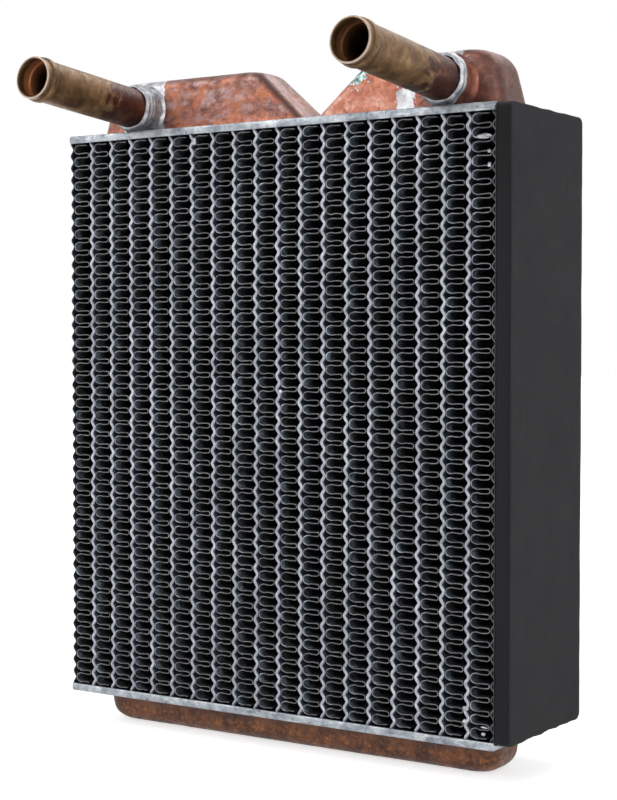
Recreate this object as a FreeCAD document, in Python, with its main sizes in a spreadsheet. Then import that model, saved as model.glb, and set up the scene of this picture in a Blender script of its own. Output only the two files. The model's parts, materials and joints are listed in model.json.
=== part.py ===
"""A car's heater core: the small copper and brass radiator that warms the cabin.

Frame: millimetres, +Z up along the water tubes, the air face and both hose pipes towards -Y, the foam side
pad towards +X. The origin is the middle of the flat underside of the bottom tank.
"""

import FreeCAD, Part
import math
import os

import Sketcher
from FreeCAD import Placement, Rotation, Vector

DIMENSIONS = [
    # core, over its two header plates
    ("core_width", 196.0, "outer width of a header plate"),
    ("core_depth", 59.5, "outer depth of a header plate, along the air flow"),
    ("core_height", 228.0, "over the outer faces of the two header plates"),
    ("header_sheet", 1.0, "thickness of a header plate"),
    ("rim_height", 3.0, "height of a header plate over its folded rim"),
    ("rim_sheet", 0.8, "thickness of the folded rim"),
    ("header_corner", 1.5, "corner radius of a header plate in plan"),
    # water tubes
    ("tube_count", 18, "water tubes that open into the tanks"),
    ("tube_thickness", 1.3, "outer thickness of a flat tube"),
    ("tube_wall", 0.25, "sheet that a tube is folded from"),
    ("tube_seam", 1.2, "solid lock seam along a tube's front and back"),
    ("tube_cap", 1.0, "closed end of a tube beside its neck"),
    ("tube_play", 0.05, "between a tube and its header plate"),
    ("tube_stand", 0.2, "how far a tube stands past the fins at the front and back"),
    ("neck_margin", 1.2, "from a tank's inner wall to a neck, at the front and back"),
    ("neck_projection", 0.3, "how far a neck stands past the header plate"),
    ("wave_count", 45, "waves along a tube"),
    ("wave_amplitude", 0.65, "swing of a tube's centre line to each side"),
    # side strips and fins
    ("strip_thickness", 0.6, "wavy strip that closes each side of the core"),
    ("strip_gap", 0.15, "from a strip's bulges to the side of the core"),
    ("fin_sheet", 0.25, "copper foil of a fin ribbon"),
    ("fin_inset", 0.45, "from a header plate's rim to the fins, at the front and back"),
    ("fin_film", 0.03, "solder film between a fold and its tube"),
    # tanks
    ("tank_sheet", 0.8, "copper sheet of a tank"),
    ("tank_depth", 24.0, "depth of a tank at the header plate"),
    ("tank_setback", 14.6, "from the header plate's front edge to the tank"),
    ("tank_draft", 5.0, "slope of a tank's front and back, in degrees"),
    ("top_tank_margin", 4.8, "from the header plate's end to a top tank"),
    ("top_tank_height", 22.3, "height of the top tanks"),
    ("top_tank_edge", 4.0, "radius of a top tank's pressed edges"),
    ("top_end_draft", 13.5, "slope of a top tank's outer end, in degrees"),
    ("top_end_edge", 11.0, "radius over the ends of a top tank's roof"),
    ("notch_slope", 48.0, "slope of a top tank's inner end from upright, in degrees"),
    ("notch_shift", 0.35, "from the middle between two necks to the middle of the notch"),
    ("notch_clearance", 0.2, "between the solder runs of the two top tanks"),
    ("bottom_tank_margin", 6.7, "from the header plate's end to the bottom tank"),
    ("bottom_tank_height", 13.7, "height of the bottom tank"),
    ("bottom_tank_edge", 6.5, "radius of the bottom tank's pressed edges"),
    ("bottom_end_edge", 8.0, "radius under the ends of the bottom tank"),
    # hose pipes
    ("pipe_outer", 15.9, "outside diameter of a hose pipe"),
    ("pipe_wall", 0.9, "wall of a hose pipe"),
    ("left_pipe_length", 67.1, "from the left tank's face to its pipe's mouth"),
    ("right_pipe_length", 70.3, "from the right tank's face to its pipe's mouth"),
    ("pipe_inset", 2.5, "how far a pipe enters the tank"),
    ("collar_gap", 0.6, "from a pipe's solder collar to the header plate"),
    ("pipe_clearance", 0.05, "between a pipe and the hole or ring around it"),
    ("left_pipe_place", 22.8, "from the left tank's outer end to its pipe's axis"),
    ("right_pipe_place", 20.7, "from the right tank's outer end to its pipe's axis"),
    ("nose_length", 3.0, "plain pipe between the mouth and the bead"),
    ("bead_length", 3.6, "length of the rolled bead"),
    ("bead_height", 0.65, "height of the rolled bead"),
    ("left_spigot_length", 4.5, "neck drawn out of the left tank around its pipe"),
    ("right_spigot_length", 6.5, "neck drawn out of the right tank around its pipe"),
    # solder
    ("collar_height", 1.0, "thickness of a solder collar over its pipe"),
    ("left_collar_length", 5.2, "length of the left solder collar"),
    ("right_collar_length", 3.0, "length of the right solder collar"),
    ("solder_size", 0.5, "solder run around the foot of a tank"),
    # foam
    ("film_thickness", 0.2, "adhesive film of the foam pad"),
    ("foam_thickness", 6.0, "foam side pad"),
    ("foam_lift", 1.7, "from the lower header plate's edge to the pad"),
    ("foam_corner", 2.5, "corner radius of the pad at its back"),
]

doc = FreeCAD.newDocument("HeaterCore")


def make_sheet():
    """The spreadsheet that holds the driving dimensions, one alias to a row."""
    sheet = doc.addObject("Spreadsheet::Sheet", "dims")
    for row, (alias, number, meaning) in enumerate(DIMENSIONS, start=1):
        sheet.set(f"A{row}", meaning)
        sheet.set(f"B{row}", str(number))
        sheet.setAlias(f"B{row}", alias)
    doc.recompute()
    return sheet


dims = make_sheet()


def size(alias):
    return float(dims.get(alias))


# Places and sizes that several pieces share, as expressions of the driving dimensions.
BOTTOM = "dims.bottom_tank_height"
TOP = f"({BOTTOM} + dims.core_height)"
WAVE_LOW = f"({BOTTOM} + dims.rim_height)"
WAVE_LENGTH = "((dims.core_height - 2 * dims.rim_height) / dims.wave_count)"
CORE_MIDDLE = "(dims.core_depth / 2 - dims.tank_setback - dims.tank_depth / 2)"
SIDE_ROOM = "(dims.wave_amplitude + dims.strip_thickness / 2 + dims.strip_gap)"
TUBE_PITCH = f"((dims.core_width - 2 * {SIDE_ROOM}) / (dims.tube_count + 1))"
FIRST_TUBE = f"(-(dims.tube_count - 1) / 2 * {TUBE_PITCH})"
FIN_DEPTH = "(dims.core_depth - 2 * (dims.rim_sheet + dims.fin_inset))"
TUBE_DEPTH = f"({FIN_DEPTH} + 2 * dims.tube_stand)"
NECK_DEPTH = "(dims.tank_depth - 2 * (dims.tank_sheet + dims.neck_margin))"
NECK_SHIFT = "(-dims.wave_amplitude)"
BETWEEN_NECKS = f"({FIRST_TUBE} + (floor(dims.tube_count / 2) + 0.5) * {TUBE_PITCH} + {NECK_SHIFT})"
NOTCH_PLACE = f"({BETWEEN_NECKS} + dims.notch_shift)"
NOTCH_HALF = "(dims.solder_size + dims.notch_clearance / 2)"
TOP_TANK_END = "(dims.core_width / 2 - dims.top_tank_margin)"
BOTTOM_TANK_END = "(dims.core_width / 2 - dims.bottom_tank_margin)"
FACE_SLOPE = "tan(dims.tank_draft * 1deg)"
END_SLOPE = "tan(dims.top_end_draft * 1deg)"
NOTCH_SLOPE = "tan(dims.notch_slope * 1deg)"
COLLAR_HOLE = "(dims.pipe_outer / 2 + dims.pipe_clearance)"
PIPE_RISE = f"({COLLAR_HOLE} + dims.collar_height + dims.collar_gap)"
PIPE_PLACES = {
    "left": f"(dims.left_pipe_place - {TOP_TANK_END})",
    "right": f"({TOP_TANK_END} - dims.right_pipe_place)",
}

# Proportions of the solder.
SOLDER_SLOPE = "(0.85 * dims.solder_size)"
SECOND_RIDGE_HEIGHT = "(0.6 * dims.collar_height)"
COLLAR_TAIL_HEIGHT = "(0.2 * dims.collar_height)"
SECOND_RIDGE_PLACE = 0.55
RIDGE_ROUNDNESS = 0.6


def dims_now(expression):
    """What an expression of the sheet comes to with the present dimensions."""
    probe = doc.addObject("App::FeaturePython", "probe")
    probe.addProperty("App::PropertyFloat", "number")
    probe.setExpression("number", expression)
    probe.recompute()
    number = probe.number
    doc.removeObject(probe.Name)
    return number


# The core's section is drawn by Part's own functions, from these numbers.
wave_length = dims_now(WAVE_LENGTH)
wave_low = dims_now(WAVE_LOW)
wave_high = wave_low + size("wave_count") * wave_length
arc_radius = ((wave_length / 4) ** 2 + size("wave_amplitude") ** 2) / (2 * size("wave_amplitude"))


def bind(item, **expressions):
    """Bind properties to expressions. Two underscores in a name stand for a dot."""
    for name, expression in expressions.items():
        item.setExpression(name.replace("__", "."), expression)


def add(kind, name, **expressions):
    item = doc.addObject(kind, name)
    bind(item, **expressions)
    return item


# Sections drawn with arcs


def wave_side(offset):
    """Edges of a tube's wavy side, `offset` from the centre line, from the first trough to the last."""
    edges = []
    swing = math.asin(wave_length / 4 / arc_radius)
    halves = 2 * int(size("wave_count"))
    for half in range(halves + 1):
        side = 1 if half % 2 else -1
        radius = arc_radius + side * offset
        middle = Vector(side * (size("wave_amplitude") - arc_radius), 0, wave_low + half * wave_length / 2)
        start = 0 if half == 0 else -swing
        end = 0 if half == halves else swing

        def point(angle):
            return middle + Vector(side * radius * math.cos(angle), 0, radius * math.sin(angle))

        edges.append(Part.Arc(point(start), point((start + end) / 2), point(end)).toShape())
    return edges


def closed_face(edges):
    return Part.Face(Part.Wire(Part.__sortEdges__(edges)))


def line(start, end):
    return Part.LineSegment(Vector(start[0], 0, start[1]), Vector(end[0], 0, end[1])).toShape()


def wave_face(thickness, low, high):
    """A wavy band whose ends run straight down to `low` and up to `high` at the trough."""
    right = thickness / 2 - size("wave_amplitude")
    left = right - thickness
    edges = wave_side(thickness / 2) + wave_side(-thickness / 2)
    edges += [line((left, low), (right, low)), line((left, high), (right, high))]
    if low < wave_low:
        edges += [line((x, low), (x, wave_low)) for x in (left, right)]
        edges += [line((x, wave_high), (x, high)) for x in (left, right)]
    return closed_face(edges)


def ribbon_face(left, right):
    """A fin ribbon that folds at every wave of the tubes, with its outer folds at `left` and `right`."""
    half = size("fin_sheet") / 2
    fold = wave_length / 4
    turn_left, turn_right = left + half + fold, right - half - fold
    legs = 2 * int(size("wave_count"))
    heights = [wave_low + fold + 2 * fold * leg for leg in range(legs)]
    edges = []
    for leg, height in enumerate(heights):
        end = right - half if leg in (0, legs - 1) else turn_right
        edges += [line((turn_left, height + side), (end, height + side)) for side in (-half, half)]
    for leg, height in enumerate(heights[:-1]):
        at_left = leg % 2 == 0
        middle = Vector(turn_left if at_left else turn_right, 0, height + fold)
        way = -1 if at_left else 1
        for radius in (fold - half, fold + half):
            tip = middle + Vector(way * radius, 0, 0)
            ends = [middle + Vector(0, 0, side * radius) for side in (-1, 1)]
            edges.append(Part.Arc(ends[0], tip, ends[1]).toShape())
    for height in (heights[0], heights[-1]):
        edges.append(line((right - half, height - half), (right - half, height + half)))
    return closed_face(edges)


def extruded(name, face, depth):
    """An extrusion of a drawn section along the air flow, centred on the core's depth."""
    section = doc.addObject("Part::Feature", f"{name}_section")
    section.Shape = face
    solid = doc.addObject("Part::Extrusion", name)
    solid.Base = section
    solid.DirMode = "Custom"
    solid.Dir = Vector(0, 1, 0)
    solid.Solid = True
    solid.Symmetric = True
    bind(solid, LengthFwd=depth, Placement__Base__y=CORE_MIDDLE)
    return solid


def centred_box(name, width, depth, low, height):
    """A box about the line of a tube's necks, which is the middle of the tanks' depth."""
    return add(
        "Part::Box",
        name,
        Length=width,
        Width=depth,
        Height=height,
        Placement__Base__x=f"{NECK_SHIFT} - ({width}) / 2",
        Placement__Base__y=f"-({depth}) / 2",
        Placement__Base__z=low,
    )


def joined(name, pieces):
    whole = doc.addObject("Part::MultiFuse", name)
    whole.Shapes = pieces
    return whole


def copy_of(master, label, place):
    """A repeated piece: the master's solid at its own place across the core."""
    piece = add("Part::Compound", label, Placement__Base__x=place)
    piece.Links = [master]
    return piece


# Core


def water_tube_master():
    """A flat wavy tube, closed but for a narrow neck at each end that enters a header plate."""
    inner = "(dims.tube_thickness - 2 * dims.tube_wall)"
    inset = size("header_sheet") + size("tube_play")
    low, high = dims_now(BOTTOM) + inset, dims_now(TOP) - inset
    blank = extruded("tube_blank", wave_face(size("tube_thickness"), low, high), TUBE_DEPTH)
    way = extruded(
        "tube_way",
        wave_face(dims_now(inner), low + size("tube_cap"), high - size("tube_cap")),
        f"{TUBE_DEPTH} - 2 * dims.tube_seam",
    )
    length = "(dims.header_sheet + dims.tube_play + dims.neck_projection)"
    low = f"({BOTTOM} - dims.neck_projection)"
    high = f"({TOP} + dims.neck_projection)"
    necks = [
        centred_box("neck_low", "dims.tube_thickness", NECK_DEPTH, low, length),
        centred_box("neck_high", "dims.tube_thickness", NECK_DEPTH, f"{high} - {length}", length),
    ]
    past_cap = f"({length} + 2 * dims.tube_cap)"
    depth = f"({NECK_DEPTH} - 2 * dims.tube_wall)"
    ways = [
        centred_box("neck_way_low", inner, depth, low, past_cap),
        centred_box("neck_way_high", inner, depth, f"{high} - {past_cap}", past_cap),
    ]
    tube = doc.addObject("Part::Cut", "tube_master")
    tube.Base = joined("tube_outside", [blank] + necks)
    tube.Tool = joined("tube_inside", [way] + ways)
    return tube


def make_core():
    count = int(size("tube_count"))
    pieces = []
    tube = water_tube_master()
    for number in range(count):
        place = f"{FIRST_TUBE} + {number} * {TUBE_PITCH}"
        pieces.append(copy_of(tube, f"water_tube_{number + 1:02}", place))

    strip = extruded("strip_master", wave_face(size("strip_thickness"), wave_low, wave_high), FIN_DEPTH)
    pieces.append(copy_of(strip, "left_side_strip", f"{FIRST_TUBE} - {TUBE_PITCH}"))
    pieces.append(copy_of(strip, "right_side_strip", f"-{FIRST_TUBE} + {TUBE_PITCH}"))

    pitch = dims_now(TUBE_PITCH)
    bulge = size("wave_amplitude") + size("fin_film")
    by_tube = bulge + size("tube_thickness") / 2
    by_strip = bulge + size("strip_thickness") / 2
    gaps = {
        "left": (by_strip, pitch - by_tube),
        "inner": (by_tube, pitch - by_tube),
        "right": (by_tube, pitch - by_strip),
    }
    masters = {name: extruded(f"{name}_ribbon", ribbon_face(*gap), FIN_DEPTH) for name, gap in gaps.items()}
    for number in range(count + 1):
        name = {0: "left", count: "right"}.get(number, "inner")
        place = f"{FIRST_TUBE} + {number - 1} * {TUBE_PITCH}"
        pieces.append(copy_of(masters[name], f"fin_ribbon_{number + 1:02}", place))
    return pieces


# PartDesign helpers


def new_body(label):
    return doc.addObject("PartDesign::Body", label)


def plane_of(body, role):
    return next(item for item in body.Origin.OriginFeatures if item.Role == role)


def sketch_in(body, name, role="XY_Plane", **offsets):
    """A sketch on an origin plane of its body, moved by expressions in the plane's own axes."""
    sketch = body.newObject("Sketcher::SketchObject", name)
    sketch.AttachmentSupport = [(plane_of(body, role), "")]
    sketch.MapMode = "FlatFace"
    bind(sketch, **{f"AttachmentOffset__Base__{axis}": text for axis, text in offsets.items()})
    return sketch


def limit(sketch, name, kind, *parts, expression):
    """A named sketch dimension bound to an expression."""
    index = sketch.addConstraint(Sketcher.Constraint(kind, *parts))
    sketch.renameConstraint(index, name)
    sketch.setExpression(f"Constraints.{name}", expression)


def measure(sketch, name, axis, element, corner, expression):
    """Bind a corner's distance from the sketch's X or Y axis, on whichever side of it the corner lies."""
    now = dims_now(expression)
    if abs(now) < 1e-9:
        other = {"X": -2, "Y": -1}[axis]
        sketch.addConstraint(Sketcher.Constraint("PointOnObject", element, corner, other))
    elif now < 0:
        limit(sketch, name, f"Distance{axis}", element, corner, -1, 1, -now, expression=f"-({expression})")
    else:
        limit(sketch, name, f"Distance{axis}", -1, 1, element, corner, now, expression=expression)


def rectangle(body, name, width, depth, corner=None, role="XY_Plane", **offsets):
    """A sketched rectangle about its own middle, with round corners if `corner` is given."""
    sketch = sketch_in(body, name, role, **offsets)
    x, y = dims_now(width) / 2, dims_now(depth) / 2
    r = dims_now(corner) if corner else 0
    runs = [
        ((r - x, -y), (x - r, -y)),
        ((x, r - y), (x, y - r)),
        ((x - r, y), (r - x, y)),
        ((-x, y - r), (-x, r - y)),
    ]
    sketch.addGeometry([Part.LineSegment(Vector(*a, 0), Vector(*b, 0)) for a, b in runs], False)
    for side in range(4):
        sketch.addConstraint(Sketcher.Constraint("Vertical" if side % 2 else "Horizontal", side))
    if corner:
        for quarter, (sx, sy) in enumerate(((1, -1), (1, 1), (-1, 1), (-1, -1))):
            centre = Vector(sx * (x - r), sy * (y - r), 0)
            start = (quarter - 1) * math.pi / 2
            circle = Part.Circle(centre, Vector(0, 0, 1), r)
            sketch.addGeometry(Part.ArcOfCircle(circle, start, start + math.pi / 2), False)
            arc = 4 + quarter
            sketch.addConstraint(Sketcher.Constraint("Tangent", quarter, 2, arc, 1))
            sketch.addConstraint(Sketcher.Constraint("Tangent", arc, 2, (quarter + 1) % 4, 1))
            if quarter:
                sketch.addConstraint(Sketcher.Constraint("Equal", 4, arc))
        limit(sketch, "corner", "Radius", 4, r, expression=corner)
    else:
        for side in range(4):
            sketch.addConstraint(Sketcher.Constraint("Coincident", side, 2, (side + 1) % 4, 1))
    half_width, half_depth = f"({width}) / 2", f"({depth}) / 2"
    limit(sketch, "right", "DistanceX", -1, 1, 1, 1, x, expression=half_width)
    limit(sketch, "left", "DistanceX", 3, 1, -1, 1, x, expression=half_width)
    limit(sketch, "back", "DistanceY", -1, 1, 2, 1, y, expression=half_depth)
    limit(sketch, "front", "DistanceY", 0, 1, -1, 1, y, expression=half_depth)
    return sketch


def pad(body, name, sketch, length, backwards=False):
    item = body.newObject("PartDesign::Pad", name)
    item.Profile = sketch
    item.Reversed = backwards
    bind(item, Length=length)
    body.Tip = item
    return item


def pocket(body, name, sketch, length, backwards=False, both_ways=False):
    """A pocket, which has to take something away."""
    doc.recompute()
    before = body.Shape.Volume
    item = body.newObject("PartDesign::Pocket", name)
    item.Profile = sketch
    item.Reversed = backwards
    if both_ways:
        item.SideType = "Symmetric"
    bind(item, Length=length)
    body.Tip = item
    doc.recompute()
    if not body.Shape.Volume < before:
        raise RuntimeError(f"{body.Label}: {name} cuts nothing")
    return item


def edge_names(base, chosen):
    """The names of the edges of `base` that `chosen` accepts."""
    return [f"Edge{number}" for number, edge in enumerate(base.Shape.Edges, start=1) if chosen(edge)]


def edges_at(height):
    """Accepts the edges that lie at a height."""
    return lambda edge: all(abs(vertex.Z - height) < 1e-6 for vertex in edge.Vertexes)


def round_edges(body, name, base, radius, chosen):
    """A fillet on the edges of `base` that `chosen` accepts."""
    doc.recompute()
    item = body.newObject("PartDesign::Fillet", name)
    item.Base = (base, edge_names(base, chosen))
    bind(item, Radius=radius)
    body.Tip = item
    return item


# Header plates


def header_plate(label, outer_face, upwards):
    """A plate with its rim folded over the core, and a slot for each tube's neck."""
    body = new_body(label)
    bind(body, Placement__Base__y=CORE_MIDDLE, Placement__Base__z=outer_face)
    outline = rectangle(body, f"{label}_outline", "dims.core_width", "dims.core_depth", "dims.header_corner")
    pad(body, f"{label}_blank", outline, "dims.rim_height", backwards=not upwards)
    inside = rectangle(
        body,
        f"{label}_inside",
        "dims.core_width - 2 * dims.rim_sheet",
        "dims.core_depth - 2 * dims.rim_sheet",
        "dims.header_corner - dims.rim_sheet",
        z="dims.rim_height" if upwards else "-dims.rim_height",
    )
    pocket(body, f"{label}_tray", inside, "dims.rim_height - dims.header_sheet", backwards=not upwards)
    slot = rectangle(
        body,
        f"{label}_slot",
        "dims.tube_thickness + 2 * dims.tube_play",
        f"{NECK_DEPTH} + 2 * dims.tube_play",
        x=f"{FIRST_TUBE} + {NECK_SHIFT}",
        y=f"-{CORE_MIDDLE}",
    )
    cut = pocket(body, f"{label}_neck_slot", slot, "4 * dims.header_sheet", both_ways=True)
    row = body.newObject("PartDesign::LinearPattern", f"{label}_slots")
    row.Originals = [cut]
    row.Direction = (slot, ["H_Axis"])
    bind(row, Length=f"(dims.tube_count - 1) * {TUBE_PITCH}", Occurrences="dims.tube_count")
    body.Tip = row
    return body


# Tanks


def polygon(body, name, corners, role, **offsets):
    """A sketched polygon through corners that are pairs of expressions."""
    sketch = sketch_in(body, name, role, **offsets)
    places = [Vector(dims_now(across), dims_now(up), 0) for across, up in corners]
    for start, end in zip(places, places[1:] + places[:1]):
        sketch.addGeometry(Part.LineSegment(start, end), False)
    for side in range(len(corners)):
        sketch.addConstraint(Sketcher.Constraint("Coincident", side, 2, (side + 1) % len(corners), 1))
    for side, (across, up) in enumerate(corners):
        measure(sketch, f"across_{side}", "X", side, 1, across)
        measure(sketch, f"up_{side}", "Y", side, 1, up)
    return sketch


def tank_form(label, ends, tall, end_edge, edge):
    """A tank's outer form standing on its foot. `ends` gives its left and right end at a height."""
    body = new_body(label)
    low, high = ends("0"), ends(tall)
    half = "(dims.tank_depth / 2)"
    roof = f"({half} - {tall} * {FACE_SLOPE})"
    corners = [(f"-{half}", "0"), (half, "0"), (roof, tall), (f"-{roof}", tall)]
    profile = polygon(body, f"{label}_profile", corners, "YZ_Plane", z=low[0])
    shape = pad(body, f"{label}_bar", profile, f"{low[1]} - {low[0]}")
    for number, name in enumerate(("left", "right")):
        corners = [(low[number], "0"), (high[number], tall), (low[number], tall)]
        wedge = polygon(body, f"{label}_{name}_wedge", corners, "XZ_Plane")
        shape = pocket(body, f"{label}_{name}_end", wedge, "2 * dims.tank_depth", both_ways=True)
    shape = round_edges(body, f"{label}_end_edges", shape, end_edge, lambda edge: lies_along_y(edge, tall))
    round_edges(body, f"{label}_edges", shape, edge, off_the_foot)
    return body


def lies_along_y(edge, tall):
    """True for the edges across a tank's roof."""
    ends = [vertex.Point for vertex in edge.Vertexes]
    level = all(abs(end.z - dims_now(tall)) < 1e-6 for end in ends)
    return level and abs(ends[0].x - ends[-1].x) < 1e-6


def off_the_foot(edge):
    """True for the edges of a tank's front and back, but for those on its foot."""
    ends = [vertex.Point for vertex in edge.Vertexes]
    one_face = all(end.y < 0 for end in ends) or all(end.y > 0 for end in ends)
    return one_face and not all(abs(end.z) < 1e-6 for end in ends)


def tank_shell(name, form, **place):
    """The sheet of a tank inside its outer form, open at the foot."""
    doc.recompute()
    shell = add("Part::Thickness", name, Value="-dims.tank_sheet", **place)
    foot = [
        f"Face{number}"
        for number, face in enumerate(form.Shape.Faces, start=1)
        if abs(face.CenterOfMass.z) < 1e-6 and abs(face.normalAt(0, 0).z) > 0.999
    ]
    shell.Faces = (form, foot)
    shell.Mode = "Skin"
    shell.Join = "Arc"
    return shell


def top_tank_ends(side):
    """A top tank's ends at a height: its outer end leans in and its inner end is the notch's slope."""

    def at(height):
        outer = f"({TOP_TANK_END} - {height} * {END_SLOPE})"
        inner = f"({NOTCH_HALF} + {height} * {NOTCH_SLOPE})"
        if side == "left":
            return f"(-{outer})", f"({NOTCH_PLACE} - {inner})"
        return f"({NOTCH_PLACE} + {inner})", outer

    return at


def bottom_tank_ends(height):
    end = f"({BOTTOM_TANK_END} - {height} * {FACE_SLOPE})"
    return f"(-{end})", end


def top_tank(side):
    """A pressed top tank with a spigot for its hose pipe, and the solder around its foot."""
    ends = top_tank_ends(side)
    edge = "dims.top_tank_edge"
    form = tank_form(f"{side}_top_form", ends, "dims.top_tank_height", "dims.top_end_edge", edge)
    shell = tank_shell(f"{side}_top_shell", form)
    reach = f"dims.{side}_spigot_length"
    spigot = add(
        "Part::Cylinder",
        f"{side}_spigot",
        Radius=f"{COLLAR_HOLE} + dims.tank_sheet",
        Height=f"{reach} + dims.tank_sheet",
    )
    place_on_face(spigot, side, f"-{TOP}", back="dims.tank_sheet")
    drill = add(
        "Part::Cylinder", f"{side}_pipe_drill", Radius=COLLAR_HOLE, Height=f"2 * ({edge} + {reach})"
    )
    place_on_face(drill, side, f"-{TOP}", back=edge)
    tank = add("Part::Cut", f"{side}_top_tank", Placement__Base__z=TOP)
    tank.Base, tank.Tool = joined(f"{side}_pressing", [shell, spigot]), drill
    solder = foot_solder(f"{side}_tank_solder", form, ends, edge)
    bind(solder, Placement__Base__z=TOP)
    return [tank, solder]


def bottom_tank():
    """The shallow return tank under the core, and the solder around its foot."""
    form = tank_form(
        "bottom_form", bottom_tank_ends, BOTTOM, "dims.bottom_end_edge", "dims.bottom_tank_edge"
    )
    tank = add("Part::Compound", "bottom_tank")
    tank.Links = [tank_shell("bottom_shell", form)]
    solder = foot_solder("bottom_tank_solder", form, bottom_tank_ends, "dims.bottom_tank_edge")
    for piece in (tank, solder):
        piece.Placement = Placement(Vector(), Rotation(Vector(1, 0, 0), 180))
        bind(piece, Placement__Base__z=BOTTOM)
    return [tank, solder]


def foot_solder(label, form, ends, corner):
    """The solder run into the corner between a tank's foot and its header plate."""
    bead = new_body(f"{label}_bead")
    left, right = ends("0")
    outline = rectangle(
        bead,
        f"{label}_outline",
        f"{right} - {left} + 2 * dims.solder_size",
        "dims.tank_depth + 2 * dims.solder_size",
        f"{corner} + dims.solder_size",
        x=f"({left} + {right}) / 2",
    )
    block = pad(bead, f"{label}_block", outline, "dims.solder_size")
    doc.recompute()
    chamfer = bead.newObject("PartDesign::Chamfer", f"{label}_slope")
    chamfer.Base = (block, edge_names(block, edges_at(size("solder_size"))))
    bind(chamfer, Size=SOLDER_SLOPE)
    bead.Tip = chamfer
    ring = doc.addObject("Part::Cut", label)
    ring.Base, ring.Tool = bead, form
    return ring


# Hose pipes and their collars


def turned(label, side, outline):
    """A body turned about the axis of a hose pipe, with its zero on the tank's face, mouth upwards."""
    body = new_body(label)
    sketch = sketch_in(body, f"{label}_profile", "XZ_Plane")
    outline(sketch)
    item = body.newObject("PartDesign::Revolution", f"{label}_turned")
    item.Profile = sketch
    item.ReferenceAxis = (sketch, ["V_Axis"])
    item.Angle = 360
    body.Tip = item
    place_on_face(body, side)
    return body


def place_on_face(item, side, lift="0", back="0"):
    """Set an item's zero where a pipe's axis meets the tank's face, square to the face, mouth upwards."""
    item.Placement = Placement(Vector(), Rotation(Vector(1, 0, 0), 90 - size("tank_draft")))
    bind(
        item,
        Placement__Base__x=PIPE_PLACES[side],
        Placement__Base__y=f"{PIPE_RISE} * {FACE_SLOPE} - dims.tank_depth / 2 + {back}",
        Placement__Base__z=f"{TOP} + {PIPE_RISE} + {lift} - {back} * {FACE_SLOPE}",
        Placement__Rotation__Angle="90 - dims.tank_draft",
    )


def turned_outline(sketch, corners, bulges):
    """A closed profile through (radius, height) corners. `bulges` gives the radius of each side that is an
    arc bulging away from the axis, by the number of the side's first corner."""
    places = [Vector(dims_now(radius), dims_now(height), 0) for radius, height in corners]
    starts, ends = [], []
    for side, (start, end) in enumerate(zip(places, places[1:] + places[:1])):
        if side in bulges:
            low, high = sorted((start, end), key=lambda place: place.y)
            radius = dims_now(bulges[side])
            half = (high - low) * 0.5
            inward = Vector(-half.y, half.x, 0).normalize()
            centre = low + half + inward * math.sqrt(radius**2 - half.Length**2)
            angles = [math.atan2(place.y - centre.y, place.x - centre.x) for place in (low, high)]
            sketch.addGeometry(Part.ArcOfCircle(Part.Circle(centre, Vector(0, 0, 1), radius), *angles), False)
            starts.append(1 if low is start else 2)
        else:
            sketch.addGeometry(Part.LineSegment(start, end), False)
            starts.append(1)
        ends.append(3 - starts[-1])
    for side in range(len(corners)):
        after = (side + 1) % len(corners)
        sketch.addConstraint(Sketcher.Constraint("Coincident", side, ends[side], after, starts[after]))
    for side, (radius, height) in enumerate(corners):
        measure(sketch, f"radius_{side}", "X", side, starts[side], radius)
        measure(sketch, f"height_{side}", "Y", side, starts[side], height)
    for side, radius in bulges.items():
        limit(sketch, f"bulge_{side}", "Radius", side, dims_now(radius), expression=radius)


def hose_pipe(side):
    """A thin pipe with a bead rolled out of its wall behind the mouth."""
    outer = "dims.pipe_outer / 2"
    inner = f"({outer} - dims.pipe_wall)"
    mouth = f"dims.{side}_pipe_length"
    bead_top = f"({mouth} - dims.nose_length)"
    bead_foot = f"({bead_top} - dims.bead_length)"
    bulge = "((dims.bead_length / 2) ^ 2 + dims.bead_height ^ 2) / (2 * dims.bead_height)"
    corners = [
        (outer, "-dims.pipe_inset"),
        (outer, bead_foot),
        (outer, bead_top),
        (outer, mouth),
        (inner, mouth),
        (inner, bead_top),
        (inner, bead_foot),
        (inner, "-dims.pipe_inset"),
    ]
    return turned(
        f"{side}_hose_pipe", side, lambda sketch: turned_outline(sketch, corners, {1: bulge, 5: bulge})
    )


def solder_collar(side, ridges):
    """The solder built up on the rim of a spigot, in one ridge or in two that grow smaller."""
    foot, length = f"dims.{side}_spigot_length", f"dims.{side}_collar_length"
    end = f"{foot} + {length}"
    corners = [(COLLAR_HOLE, foot), (f"{COLLAR_HOLE} + dims.collar_height", foot)]
    if ridges == 2:
        second = f"{foot} + {SECOND_RIDGE_PLACE} * {length}"
        corners.append((f"{COLLAR_HOLE} + {SECOND_RIDGE_HEIGHT}", second))
    corners += [(f"{COLLAR_HOLE} + {COLLAR_TAIL_HEIGHT}", end), (COLLAR_HOLE, end)]
    bulges = {1 + ridge: f"{RIDGE_ROUNDNESS} * {length}" for ridge in range(ridges)}
    return turned(f"{side}_pipe_solder", side, lambda sketch: turned_outline(sketch, corners, bulges))


# Foam side pad


def side_pad():
    """The foam pad that seals the core in its case, and the adhesive film that holds it."""
    tall = "(dims.core_height - dims.foam_lift)"
    pieces = []
    for label, start, thickness in (
        ("foam_adhesive_film", "dims.core_width / 2", "dims.film_thickness"),
        ("foam_side_pad", "dims.core_width / 2 + dims.film_thickness", "dims.foam_thickness"),
    ):
        body = new_body(label)
        bind(
            body,
            Placement__Base__x=start,
            Placement__Base__y=CORE_MIDDLE,
            Placement__Base__z=f"{TOP} - {tall} / 2",
        )
        outline = rectangle(body, f"{label}_outline", "dims.core_depth", tall, "dims.foam_corner", "YZ_Plane")
        pad(body, f"{label}_sheet", outline, thickness)
        pieces.append(body)
    return pieces


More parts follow.
